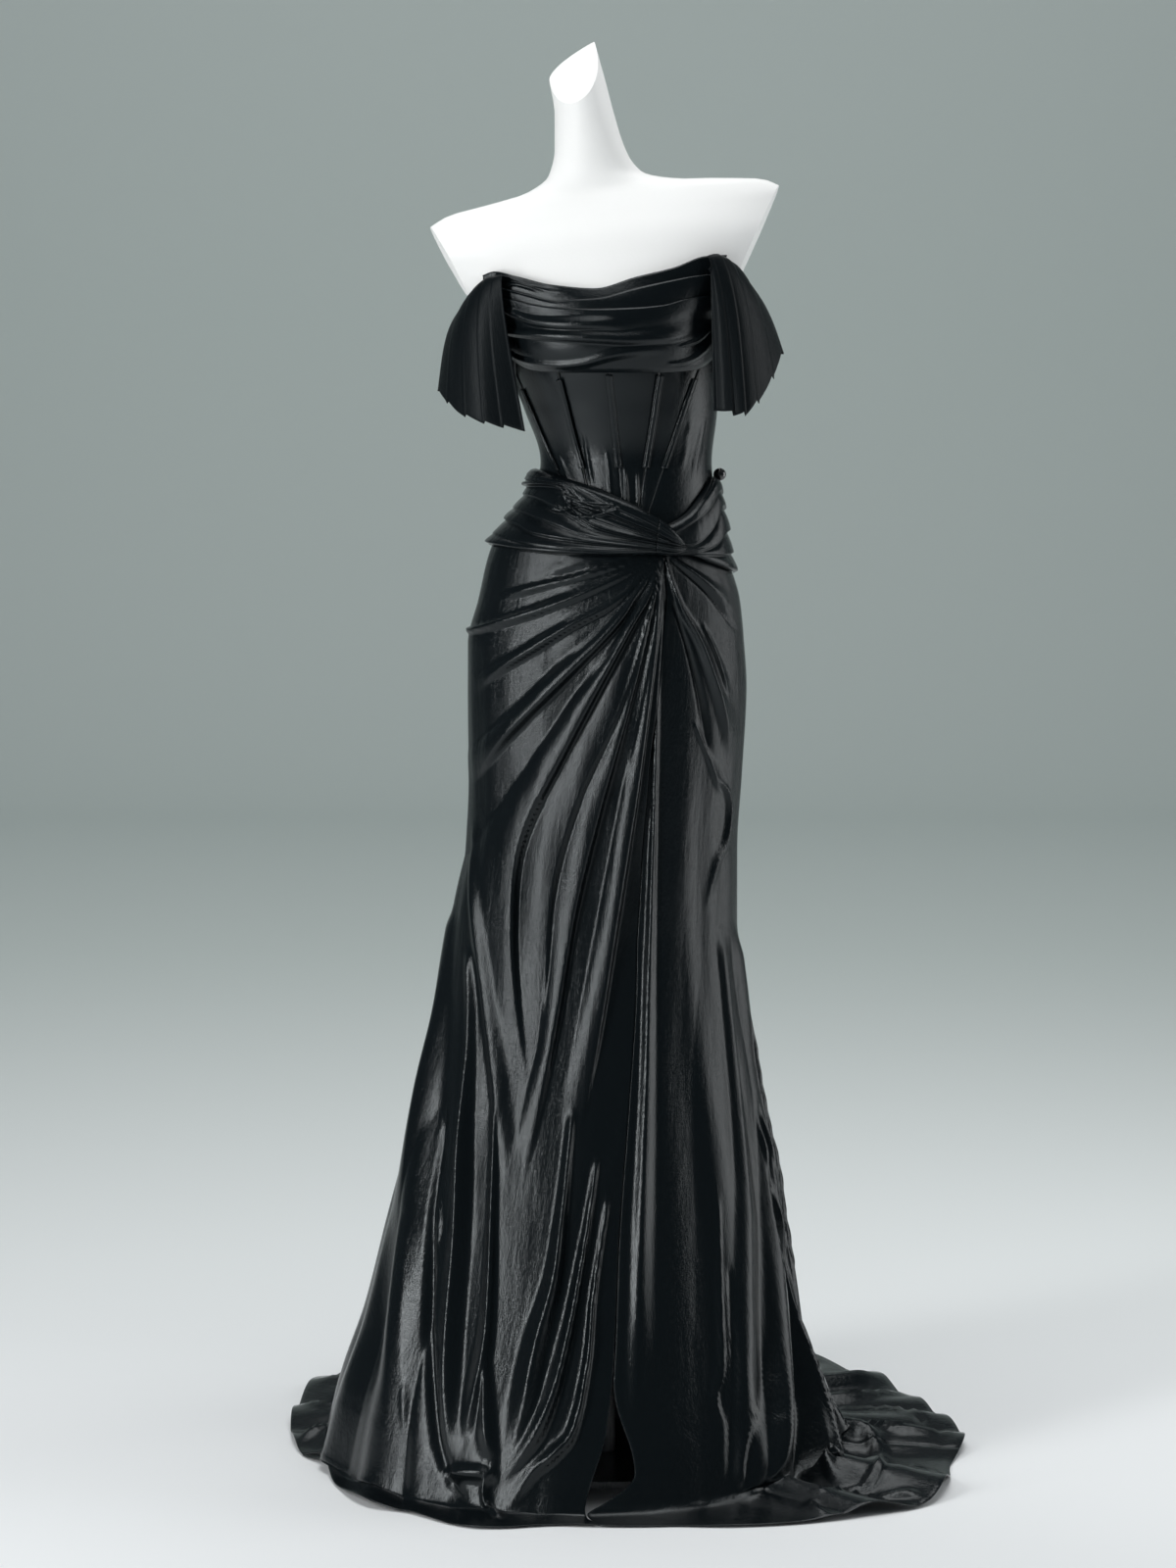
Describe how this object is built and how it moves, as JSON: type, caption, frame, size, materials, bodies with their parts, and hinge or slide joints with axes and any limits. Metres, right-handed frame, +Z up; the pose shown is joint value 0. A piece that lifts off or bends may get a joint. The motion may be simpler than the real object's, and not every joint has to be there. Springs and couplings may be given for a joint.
{
  "type": "mermaid gown on a limbless dress form",
  "caption": "Black satin off-shoulder mermaid gown with cowl neckline, boned bodice, knotted waist drape, front slit and sweep train, worn by a white limbless dress form on a pole stand",
  "frame": {"origin": "centre of the underside of the stand's round base, on the floor", "axes": "+Z up; the gown's front faces -Y; +X is the wearer's left, where the waist knot is"},
  "size_m": [0.8004, 0.918, 1.6319],
  "materials": {
    "satin": "lustrous stretch satin",
    "form": "smooth matte white",
    "steel": "brushed",
    "button": "gloss"
  },
  "bodies": {
    "root": {"bodice_centre_back_left": "satin", "bodice_centre_back_right": "satin", "bodice_centre_front_left": "satin", "bodice_centre_front_right": "satin", "bodice_side_back_left": "satin", "bodice_side_back_right": "satin", "bodice_side_front_left": "satin", "bodice_side_front_right": "satin", "bodice_side_left": "satin", "bodice_side_right": "satin", "boning_back_left": "satin", "boning_back_right": "satin", "boning_centre_front": "satin", "boning_inner_left": "satin", "boning_inner_right": "satin", "boning_outer_left": "satin", "boning_outer_right": "satin", "cowl_band": "satin", "cowl_fold_middle": "satin", "cowl_fold_upper": "satin", "form_torso": "form", "knot": "satin", "side_button": "button", "skirt_back_left": "satin", "skirt_back_right": "satin", "skirt_front_left": "satin", "skirt_front_right": "satin", "sleeve_left": "satin", "sleeve_right": "satin", "stand_base": "steel", "stand_pole": "steel", "waist_wrap_left": "satin", "waist_wrap_right": "satin"}
  },
  "joints": []
}
